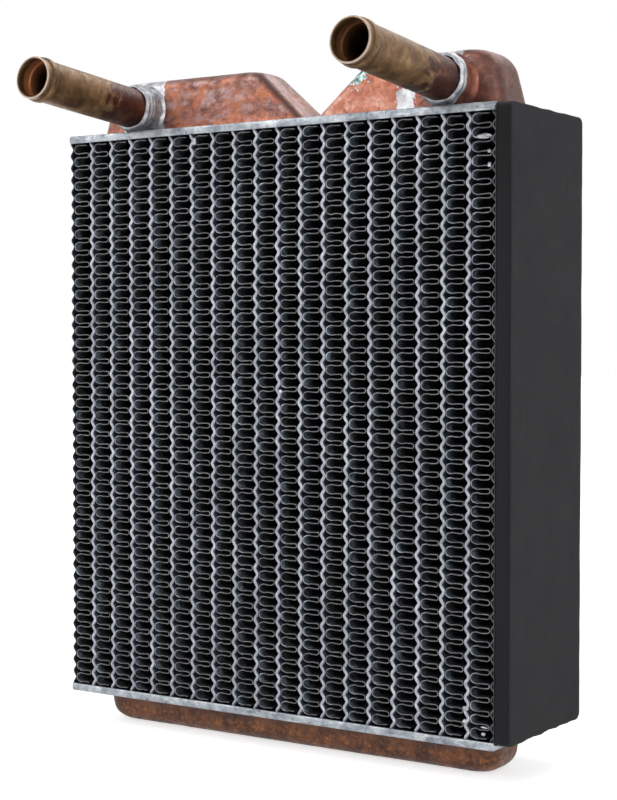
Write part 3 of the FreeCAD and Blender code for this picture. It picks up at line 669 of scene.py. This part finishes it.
def make_core(solder):
    """The water tubes, the side strips, the fin ribbons and the solder that dripped on their face."""
    tinned, lacquered = tube_material(), fin_material()
    low, high = plate_low.z + TUBE_END_GAP, plate_high.z - TUBE_END_GAP
    for number, node in enumerate(tube_nodes, start=1):
        wavy_band(f"water_tube_wavy_{number:02}", node, TUBE_HALF, tinned, low, high, number * 3.1)
    left_dark = strip_material("left_strip_lacquer", (0.012, 0.013, 0.016), (0.06, 0.064, 0.075))
    right_dull = strip_material("right_strip_tinned", (0.05, 0.055, 0.065), (0.20, 0.215, 0.245))
    low, high = wave_low - STRIP_OVERLAP, wave_high + STRIP_OVERLAP
    for side, material, seed in (("left", left_dark, 60.0), ("right", right_dull, 70.0)):
        wavy_band(f"side_strip_wavy_{side}", f"{side}_side_strip", STRIP_HALF, material, low, high, seed)
    for number, node in enumerate(ribbon_nodes, start=1):
        fin_ribbon(number, node, lacquered)
    # Where each drop is (across, how deep behind the fins' edges, height) and its size
    drops = [
        ((92.6, 0.6, 229.9), (3.2, 0.8, 1.05)),
        ((94.8, 0.5, 224.6), (0.9, 0.6, 0.75)),
        ((94.9, 0.5, 219.9), (0.8, 0.6, 0.9)),
        ((93.3, 0.4, 19.2), (0.8, 0.6, 0.7)),
        ((93.6, 0.5, 21.6), (1.5, 0.6, 0.4)),
        ((86.2, 0.2, 27.6), (1.3, 0.7, 0.9)),
        ((86.2, 0.2, 22.8), (1.2, 0.7, 0.9)),
        ((6.2, 0.5, 139.0), (0.8, 0.5, 0.8)),
        ((-34.5, 0.3, 236.0), (1.1, 0.6, 1.5)),
    ]
    for number, ((across, behind, height), size) in enumerate(drops, start=1):
        place = (across, fin_front + behind, height)
        solder_drop(f"solder_drop_{number:02}", place, size, solder, seed=number * 2.3)


# Header plates


def header_plate(name, node, outer_face, down, material, seed):
    """A tinned plate with its rim folded over the core, rounded at the fold and a little dented.

    Its profile goes from the middle of the inner face, around the rim's edge, to the middle of the outer
    face, as (inset from the rim, drop from the outer face)."""
    low, high = box_of(node)
    middle = (low.y + high.y) / 2
    reach = (high.y - low.y) / 2 - 0.4
    profile = [
        (reach, 1.0),
        (RIM_SHEET + 0.3, 1.0),
        (RIM_SHEET, 1.3),
        (RIM_SHEET, RIM_HEIGHT - 0.1),
        (RIM_SHEET - 0.12, RIM_HEIGHT),
        (0.12, RIM_HEIGHT),
        (0.0, RIM_HEIGHT - 0.12),
        (0.0, 2.0),
        (0.0, 0.75),
        (0.1, 0.35),
        (0.35, 0.1),
        (0.75, 0.0),
        (reach, 0.0),
    ]
    points = []
    for inset, drop in profile:
        outline = rounded_outline(
            low.x + inset, high.x - inset, low.y + inset, high.y - inset, RIM_CORNER - inset,
            long_steps=90, short_steps=28,
        )
        for across, depth in outline:
            dent = abs(rough((across, depth, drop), 0.16, 0.22, seed)) if inset < 2 else 0.0
            pull = (1 if depth < middle else -1) * dent
            sag = dent * 0.6 if drop == 0.0 or inset > RIM_SHEET else 0.0
            points.append((across, depth + pull * 0.6, outer_face - down * (drop + sag)))
    faces = loft_faces(len(profile), len(points) // len(profile))
    piece(name, points, faces, material, replaces=[node])


# Tanks

PAINT_LAYERS = ("crease", "band", "dim", "warm", "tin", "patina")


def inset_at(height, tall, slope, radius):
    """How far a sloping wall lies inside its foot at a height, rounded over into the roof."""
    touch = tall - radius + radius * math.sin(slope)
    if height <= touch:
        return height * math.tan(slope)
    centre = (tall - radius) * math.tan(slope) + radius / math.cos(slope)
    return centre - math.sqrt(max(radius**2 - (height - tall + radius) ** 2, 0.0))


def eased(value, low, high):
    """0 to 1 as a value goes from low to high, held at the ends."""
    part = min(max((value - low) / (high - low), 0.0), 1.0)
    return part * part * (3 - 2 * part)


def left_paint(across, depth, height, right, half, tall):
    """Tin around the pipe's foot, and on the end by the notch a dark crease of painted shade and a pale band
    of painted highlight over the corner.

    Like the other paints, it gives layers of copper_material at a place on a tank whose right end, half
    depth and height are right, half and tall."""
    inward = depth + half - TANK_CORNER
    on_end = across > right - 2.5
    beside = abs(across - left_axis.foot.x)
    return {
        # Painted shade along the crease where the front face turns into the end, and a painted highlight on
        # the band over that corner
        "crease": math.exp(-(((inward + 3.4) / 1.4) ** 2)) if on_end else 0.0,
        "band": eased(inward, -2.4, -0.8) * (1 - eased(inward, 3.6, 5.4)) if on_end else 0.0,
        "dim": max(
            0.8 * eased(height, tall - 1.6, tall - 0.3) if depth < 0 else 0.25,
            0.5 * eased(inward, 6.0, 8.0) if on_end else 0.0,
        ),
        "warm": 0.62 * (1 - eased(height, 1.0, 6.0)) if depth < 0 else 0.0,
        "tin": (1 - eased(beside, 8.5, 12.5 - 0.1 * height)) * (1 - eased(depth, -8.5, -5.0)),
    }


def right_paint(across, depth, height, right, half, tall):
    """Salmon copper with verdigris by the notch, tin beside and above the pipe, and a dull end."""
    front = depth < -half / 2
    spill = eased(across, 47.5, 51.5) * (1 - eased(across, 55.0, 59.0)) * (1 - eased(height, 8.5, 12.5))
    beside = abs(across - right_axis.foot.x + 2.0)
    cap = (1 - eased(beside, 4.0, 8.0)) * eased(height, 17.5, 20.5)
    verdigris = math.exp(-(((across - 31.0) / 5.5) ** 2) - (((height - 17.0) / 4.6) ** 2))
    return {
        "dim": max(0.7 * eased(across, 78.0, 90.0), 0.35 * eased(across, 60.0, 72.0)),
        "warm": (1 - eased(across, 52.0, 66.0)) * 0.95 if front else 0.4 * (1 - eased(across, 40.0, 60.0)),
        "tin": max(spill * front, cap * (depth < -6.0)),
        "patina": 1.25 * verdigris * front,
    }


def bottom_paint(across, depth, height, right, half, tall):
    """Darker just under the plate, with a few warm patches lower down."""
    patch = 0.5 + 0.5 * noise.noise(Vector((across * 0.06, 3.0, height * 0.1)))
    return {
        "dim": 0.8 * (1 - eased(height, 1.0, 6.5)),
        "warm": 0.55 * patch * eased(height, 4.0, 8.0) * (1 - eased(height, tall - 3.0, tall)),
    }


def tank(name, node, material, upwards, ends, face, corner, paint, seed):
    """A pressed tank with round edges and a slightly uneven skin.

    `ends` holds the slope and the roof radius of the left and the right end, `face` those of the front
    and the back."""
    low, high = box_of(node)
    foot = low.z if upwards else high.z
    tall = high.z - low.z
    rows, roof_rows = 19, 6
    levels = [tall * math.sin(math.pi / 2 * row / rows) for row in range(rows)] + [tall - ROOF_GAP]
    points = []
    layers = {layer: [] for layer in PAINT_LAYERS}

    def add_ring(left, right, half, height, radius, roof):
        outline = rounded_outline(left, right, -half, half, radius, 8, long_steps=110, short_steps=16)
        for across, depth in outline:
            spot = (across, depth, height)
            skin = rough(spot, 0.09, 0.5, seed) + rough(spot, 0.3, 0.14, seed)
            skin = abs(skin) if height > 0.5 else 0.0
            inward = 0.0 if roof else math.copysign(skin, -depth)
            rise = height - (skin if roof else 0.0)
            points.append((across, depth + inward, foot + rise * (1 if upwards else -1)))
            painted = paint(across, depth, height, right, half, tall)
            for layer, values in layers.items():
                values.append(painted.get(layer, 0.0))

    for height in levels:
        left = low.x + inset_at(height, tall, *ends[0])
        right = high.x - inset_at(height, tall, *ends[1])
        half = tank_half - inset_at(height, tall, *face)
        add_ring(left, right, half, height, corner, roof=False)
    for row in range(1, roof_rows + 1):
        shrink = half * row / roof_rows * 0.985
        add_ring(
            left + shrink, right - shrink, half - shrink, tall - ROOF_GAP, corner - shrink, roof=True
        )
    rings = len(levels) + roof_rows
    faces = loft_faces(rings, len(points) // rings)
    piece(name, points, faces, material, replaces=[node], layers=layers)


# Pipes and solder


def turned(name, axis, profile, size, material, bend, replaces=(), floor=-math.inf, layers=None):
    """A closed ring with `size` points around, turned about a pipe's axis from a profile of (along, radius).

    `bend` gives how far each place is moved along the axis and outwards, and nothing lies below `floor`."""
    points = []
    for along, radius in profile:
        for step in range(size):
            angle = 2 * math.pi * step / size
            shift, swell = bend(axis.point(along, PIPE_RADIUS, angle))
            place = axis.point(along + shift, radius + swell, angle)
            place.z = max(place.z, floor)
            points.append(place)
    faces = loft_faces(len(profile), size, caps=False)
    last = (len(profile) - 1) * size
    faces += [(last + step, last + (step + 1) % size, (step + 1) % size, step) for step in range(size)]
    spread = {}
    for layer, values in (layers or {}).items():
        spread[layer] = [value for value in values for _ in range(size)]
    piece(name, points, faces, material, replaces=replaces, layers=spread)


def hose_pipe(side, axis, material):
    """A thin pipe with a bead rolled out behind the mouth and a rubbed lip, painted pale on its outer
    rounding as a painted highlight.

    The outer skin and the lip are points of (along, swell); the inner skin follows the outer one back."""
    length = axis.length
    bead_end = length - NOSE_LENGTH
    bead_start = bead_end - BEAD_LENGTH
    outer = [(-PIPE_INSET, 0.0)] + [(1.0 + (bead_start - 1.5) * step / 14, 0.0) for step in range(15)]
    outer.append((bead_start - 0.15, 0.0))
    outer += [
        (bead_end - BEAD_LENGTH / 2 * (1 - math.sin(turn)), BEAD_HEIGHT * math.cos(turn))
        for turn in [math.pi / 2 * (step / 6 - 1) for step in range(1, 12)]
    ]
    outer += [(bead_end + 0.1, 0.0), (bead_end + 0.9, -0.02)]
    outer += [(length - FLARE_LENGTH, 0.08), (length - LIP_ROUND, MOUTH_FLARE)]
    wall = PIPE_RADIUS - PIPE_BORE
    lip = [
        (
            length - LIP_ROUND + LIP_ROUND * math.sin(turn),
            -wall / 2 + MOUTH_FLARE + wall / 2 * math.cos(turn),
        )
        for turn in [math.pi * step / 6 for step in range(1, 6)]
    ]
    profile = [(along, PIPE_RADIUS + swell) for along, swell in outer + lip]
    profile += [(min(along, length - 0.8), PIPE_BORE + swell * 0.9) for along, swell in reversed(outer)]
    inner = len(outer) + len(lip)
    # strength is how strong the painted reflection in the bore is
    strength, seed = (0.6, 4.0) if side == "left" else (0.25, 9.0)

    # Painted shade in the grooves at either end of the bead
    def groove(along):
        return max(math.exp(-(((along - spot) / 0.55) ** 2)) for spot in (bead_start, bead_end + 0.3))

    # Painted shade in the bore, darker deeper in
    def inside(along):
        return 0.5 + 0.5 * (1 - eased(along, length - 16, length - 7))

    # Painted reflection in the bore, just behind the bead
    def glow(along):
        behind = eased(along, bead_start - 4.6, bead_start - 0.5)
        return strength * behind * (1 - eased(along, bead_end - 0.3, bead_end + 0.6))

    places = [along for along, _ in profile]
    layers = {
        "along": places,
        # Painted highlight on the lip's front and outer rounding; its inner rounding gets the bore's painted
        # shade
        "lip": [0.0] * (len(outer) - 1) + [0.6, 1.0, 0.9, 0.45, 0.1, 0.0] + [0.0] * len(outer),
        "groove": [groove(along) for along in places],
        "inside": [0.0] * (inner - 2) + [inside(along) for along in places[inner - 2 :]],
        "glow": [0.0] * inner + [glow(along) for along in places[inner:]],
    }

    def bend(spot):
        return 0.0, PIPE_RADIUS * rough(spot, 0.05, 0.010, seed)

    name, node = f"{side}_hose_pipe_beaded", f"{side}_hose_pipe"
    turned(name, axis, profile, 72, material, bend, [node], layers=layers)


def spigot(side, axis, length, material, floor, seed):
    """The neck drawn out of the tank around the pipe, which runs out into the tank's face."""
    rim = PIPE_RADIUS + NECK_WALL
    fit = PIPE_RADIUS + PIPE_FIT
    profile = [(-NECK_ROOT, rim + NECK_FLARE), (-0.1, rim + 1.9), (0.5, rim + 1.1), (1.2, rim + 0.5)]
    profile += [(2.2, rim + 0.15), (length - 0.4, rim), (length, rim - 0.3)]
    profile += [(length, fit), (-NECK_ROOT, fit)]

    def bend(spot):
        return 0.0, rough(spot, 0.2, 0.25, seed)

    turned(f"{side}_spigot_drawn", axis, profile, 96, material, bend, floor=floor)


def solder_collar(side, axis, ridges, material, floor, seed):
    """Solder run around a pipe's foot in uneven ridges of (along, thickness), thinner below the pipe."""
    profile = [(along, PIPE_RADIUS + 0.02 + thickness) for along, thickness in ridges]
    top = PIPE_RADIUS + 1.2

    def bend(spot):
        lift = 0.25 + 0.75 * eased(spot.z, axis.foot.z - top, axis.foot.z + top)
        return rough(spot, 0.2, 0.4, seed + 5), lift * 0.35 + rough(spot, 0.3, 0.55, seed)

    name, node = f"{side}_pipe_solder_run", f"{side}_pipe_solder"
    turned(name, axis, profile, 96, material, bend, [node], floor=floor)


# Foam pad


def foam_pad(material):
    """A foam slab with soft edges and round corners, whose outline was cut a little unevenly by hand."""
    low, high = box_of("foam_side_pad")
    thick = high.x - low.x
    middle = (high.y + low.y) / 2
    rings = [(8.0, 0.0), (3.0, 0.0), (FOAM_EDGE, 0.0), (0.2, FOAM_EDGE * 0.3), (0.0, FOAM_EDGE)]
    rings += [(0.0, thick - FOAM_EDGE), (0.2, thick - FOAM_EDGE * 0.3), (FOAM_EDGE, thick)]
    rings += [(3.0, thick), (8.0, thick), (14.0, thick)]

    def cut(depth, height, seed):
        """How far the cut strays into the slab's box."""
        spot = (0, depth, height)
        return abs(rough(spot, 0.07, 1.1, seed)) + abs(rough(spot, 0.4, 0.25, seed))

    points = []
    for inset, out in rings:
        outline = rounded_outline(
            low.y + inset, high.y - inset, low.z + inset, high.z - inset, FOAM_CORNER - inset,
            long_steps=34, short_steps=110,
        )
        for depth, height in outline:
            near_low = max(0.0, 1 - (height - low.z) / FOAM_END_REACH)
            near_high = max(0.0, 1 - (high.z - height) / FOAM_END_REACH)
            lift = cut(depth, low.z, 3.0) * near_low - 0.5 * cut(depth, high.z, 8.0) * near_high
            near_side = max(0.0, 1 - min(depth - low.y, high.y - depth) / FOAM_SIDE_REACH)
            draw = cut(0.0, height, 12.0) * 0.35 * near_side * (1 if depth < middle else -1)
            swell = rough((0, depth, height), 0.03, 0.25, 20.0) - 0.25 if out > 3 else 0.0
            points.append((low.x + out + swell, depth + draw, height + lift))
    faces = loft_faces(len(rings), len(points) // len(rings))
    pad = piece("foam_pad_cut", points, faces, material, replaces=["foam_side_pad"])


# Light, floor and camera


def area_light(name, place, aim, size, power):
    """A rectangular lamp that looks at a point."""
    data = bpy.data.lights.new(name, "AREA")
    data.shape = "RECTANGLE"
    data.size, data.size_y = size
    data.energy = power
    lamp = bpy.data.objects.new(name, data)
    lamp.location = place
    lamp.rotation_mode = "QUATERNION"
    lamp.rotation_quaternion = (Vector(aim) - Vector(place)).to_track_quat("-Z", "Y")
    bpy.context.scene.collection.objects.link(lamp)


def shown_as_backdrop(tree):
    """1 for rays that should meet the white backdrop: straight ones, reflections and refractions."""
    path = tree.nodes.new("ShaderNodeLightPath")
    shown = path.outputs["Is Camera Ray"]
    for ray in ("Is Glossy Ray", "Is Transmission Ray"):
        larger = tree.nodes.new("ShaderNodeMath")
        larger.operation = "MAXIMUM"
        tree.links.new(shown, larger.inputs[0])
        tree.links.new(path.outputs[ray], larger.inputs[1])
        shown = larger.outputs[0]
    return shown


def make_floor():
    """A pale floor that shines white to the camera, and fully so away from the object's shadow."""
    corners = [(x * FLOOR_HALF, y * FLOOR_HALF, 0) for x, y in ((-1, -1), (1, -1), (1, 1), (-1, 1))]
    mesh = bpy.data.meshes.new("floor")
    mesh.from_pydata(corners, [], [(0, 1, 2, 3)])
    floor = bpy.data.objects.new("floor", mesh)
    bpy.context.scene.collection.objects.link(floor)
    material = bpy.data.materials.new("floor_white")
    material.use_nodes = True
    tree = material.node_tree
    shader = tree.nodes["Principled BSDF"]
    shader.inputs["Base Color"].default_value = (0.86, 0.86, 0.86, 1)
    shader.inputs["Roughness"].default_value = 0.9
    shader.inputs["Emission Color"].default_value = (1, 1, 1, 1)
    place = tree.nodes.new("ShaderNodeTexCoord")
    away = tree.nodes.new("ShaderNodeVectorMath")
    away.operation = "LENGTH"
    tree.links.new(place.outputs["Object"], away.inputs[0])
    strength = tree.nodes.new("ShaderNodeMapRange")
    for socket, number in FLOOR_GLOW.items():
        strength.inputs[socket].default_value = number
    tree.links.new(away.outputs["Value"], strength.inputs["Value"])
    glow = tree.nodes.new("ShaderNodeMath")
    glow.operation = "MULTIPLY"
    tree.links.new(shown_as_backdrop(tree), glow.inputs[0])
    tree.links.new(strength.outputs[0], glow.inputs[1])
    tree.links.new(glow.outputs[0], shader.inputs["Emission Strength"])
    mesh.materials.append(material)


def make_world():
    """A plain studio sky, white wherever the backdrop shows and dimmer as light on the object."""
    world = bpy.data.worlds.new("studio")
    world.use_nodes = True
    bpy.context.scene.world = world
    tree = world.node_tree
    background = tree.nodes["Background"]
    background.inputs["Color"].default_value = (1, 1, 1, 1)
    strength = tree.nodes.new("ShaderNodeMapRange")
    tree.links.new(shown_as_backdrop(tree), strength.inputs["Value"])
    strength.inputs["To Min"].default_value = WORLD_LIGHT
    strength.inputs["To Max"].default_value = 1.0
    tree.links.new(strength.outputs[0], background.inputs["Strength"])


def make_lamps():
    """A large soft key lamp at the front left, a fill at the right, and one above and behind."""
    area_light("key_left", (-0.9, -1.1, 1.1), (0, 0, 0.15), (0.9, 0.9), 11)
    area_light("fill_right", (1.3, -0.9, 0.7), (0, 0, 0.12), (0.8, 0.8), 6)
    area_light("top_back", (0.1, 0.9, 1.3), (0, 0, 0.15), (1.0, 0.6), 5)


def make_camera():
    """The camera, on the foam pad's side of the core: before its face and above its lower plate."""
    data = bpy.data.cameras.new("camera")
    data.sensor_width = CAMERA_SENSOR
    data.lens = CAMERA_LENS
    camera = bpy.data.objects.new("camera", data)
    bpy.context.scene.collection.objects.link(camera)
    face, foot = plate_low.y * MM, plate_low.z * MM
    camera.location = (CAMERA_ACROSS, face - CAMERA_BEFORE, foot + CAMERA_ABOVE)
    level = math.cos(CAMERA_TILT)
    way = Vector(
        (-math.sin(CAMERA_AZIMUTH) * level, math.cos(CAMERA_AZIMUTH) * level, -math.sin(CAMERA_TILT))
    )
    camera.rotation_mode = "QUATERNION"
    camera.rotation_quaternion = way.to_track_quat("-Z", "Y")
    bpy.context.scene.camera = camera


# The whole object


def make_plates():
    """The header plates, each folded towards the core."""
    tinned_sheet = plate_material()
    header_plate("top_header_dented", "top_header_plate", plate_high.z, 1, tinned_sheet, 2.0)
    header_plate("bottom_header_dented", "bottom_header_plate", plate_low.z, -1, tinned_sheet, 6.0)


def make_tanks(right_copper):
    """The three tanks. Each end and face is the slope of its wall and its radius over into the roof."""
    left_copper = copper_material(
        "copper_left_tank",
        dark=(0.105, 0.034, 0.023),
        middle=(0.26, 0.092, 0.06),
        bright=(0.46, 0.145, 0.055),
        pale=(0.36, 0.235, 0.23),
        warm=[(0.36, 0.09, 0.035), (0.53, 0.155, 0.06), (0.66, 0.27, 0.16)],
        bright_spread=0.43,
        pale_spread=0.54,
    )
    bottom_copper = copper_material(
        "copper_bottom_tank",
        dark=(0.035, 0.014, 0.009),
        middle=(0.10, 0.038, 0.02),
        bright=(0.22, 0.08, 0.031),
        pale=(0.17, 0.10, 0.075),
        warm=[(0.18, 0.06, 0.022), (0.32, 0.115, 0.04), (0.42, 0.17, 0.07)],
        bright_spread=0.42,
        pale_spread=0.3,
    )
    notch, outer_end, face = (NOTCH_SLOPE, 8.0), (END_SLOPE, 11.0), (TANK_DRAFT, 4.0)
    bottom_end, bottom_face = (TANK_DRAFT, 8.0), (TANK_DRAFT, 6.5)
    tank(
        "left_tank_pressed", "left_top_tank", left_copper, upwards=True,
        ends=(outer_end, notch), face=face, corner=TANK_CORNER, paint=left_paint, seed=11.0,
    )
    tank(
        "right_tank_pressed", "right_top_tank", right_copper, upwards=True,
        ends=(notch, outer_end), face=face, corner=TANK_CORNER, paint=right_paint, seed=17.0,
    )
    tank(
        "bottom_tank_pressed", "bottom_tank", bottom_copper, upwards=False,
        ends=(bottom_end, bottom_end), face=bottom_face, corner=BOTTOM_CORNER,
        paint=bottom_paint, seed=23.0,
    )


def make_pipes(solder, right_copper):
    """The hose pipes in their necks. The left neck is tinned all over, and the right one is bare copper."""
    brass = pipe_material()
    left_ridges = [
        (-0.3, 2.2), (0.4, 1.75), (1.5, 1.45), (3.0, 1.25), (4.3, 1.2), (5.0, 1.75), (5.6, 1.8),
        (6.1, 1.25), (6.6, 1.55), (7.1, 1.55), (7.6, 0.95), (8.1, 1.25), (8.7, 1.15), (9.5, 0.15),
        (9.5, 0.0), (-0.3, 0.0),
    ]
    right_ridges = [
        (5.6, 0.95), (5.9, 1.3), (6.6, 1.75), (7.2, 1.4), (7.6, 1.15), (8.0, 1.4), (8.8, 1.15),
        (9.6, 0.15), (9.6, 0.0), (5.6, 0.0),
    ]
    floor = plate_high.z + PLATE_CLEARANCE
    for side, axis, ridges, skin, neck, seed in (
        ("left", left_axis, left_ridges, solder, 4.5, 31.0),
        ("right", right_axis, right_ridges, right_copper, 6.5, 37.0),
    ):
        hose_pipe(side, axis, brass)
        spigot(side, axis, neck, skin, floor, seed + 1)
        solder_collar(side, axis, ridges, solder, floor, seed)


def dress_hidden_nodes(solder):
    """Materials for the pieces that keep their CAD shape: the film and the seams around the tanks' feet."""
    skins = {"foam_adhesive_film": film_material()}
    skins |= {f"{place}_tank_solder": solder for place in ("left", "right", "bottom")}
    for name, material in skins.items():
        materials = frame["nodes"][name].data.materials
        materials.clear()
        materials.append(material)


bpy.context.scene.view_settings.view_transform = "Standard"
make_camera()
make_floor()
make_world()
make_lamps()

solder = solder_material()
right_copper = copper_material(
    "copper_right_tank",
    dark=(0.07, 0.025, 0.018),
    middle=(0.19, 0.062, 0.042),
    bright=(0.36, 0.12, 0.07),
    pale=(0.30, 0.19, 0.175),
    warm=[(0.30, 0.085, 0.045), (0.46, 0.165, 0.10), (0.64, 0.36, 0.28)],
    bright_spread=0.42,
    pale_spread=0.48,
)
make_core(solder)
make_plates()
make_tanks(right_copper)
make_pipes(solder, right_copper)
foam_pad(foam_material())
dress_hidden_nodes(solder)
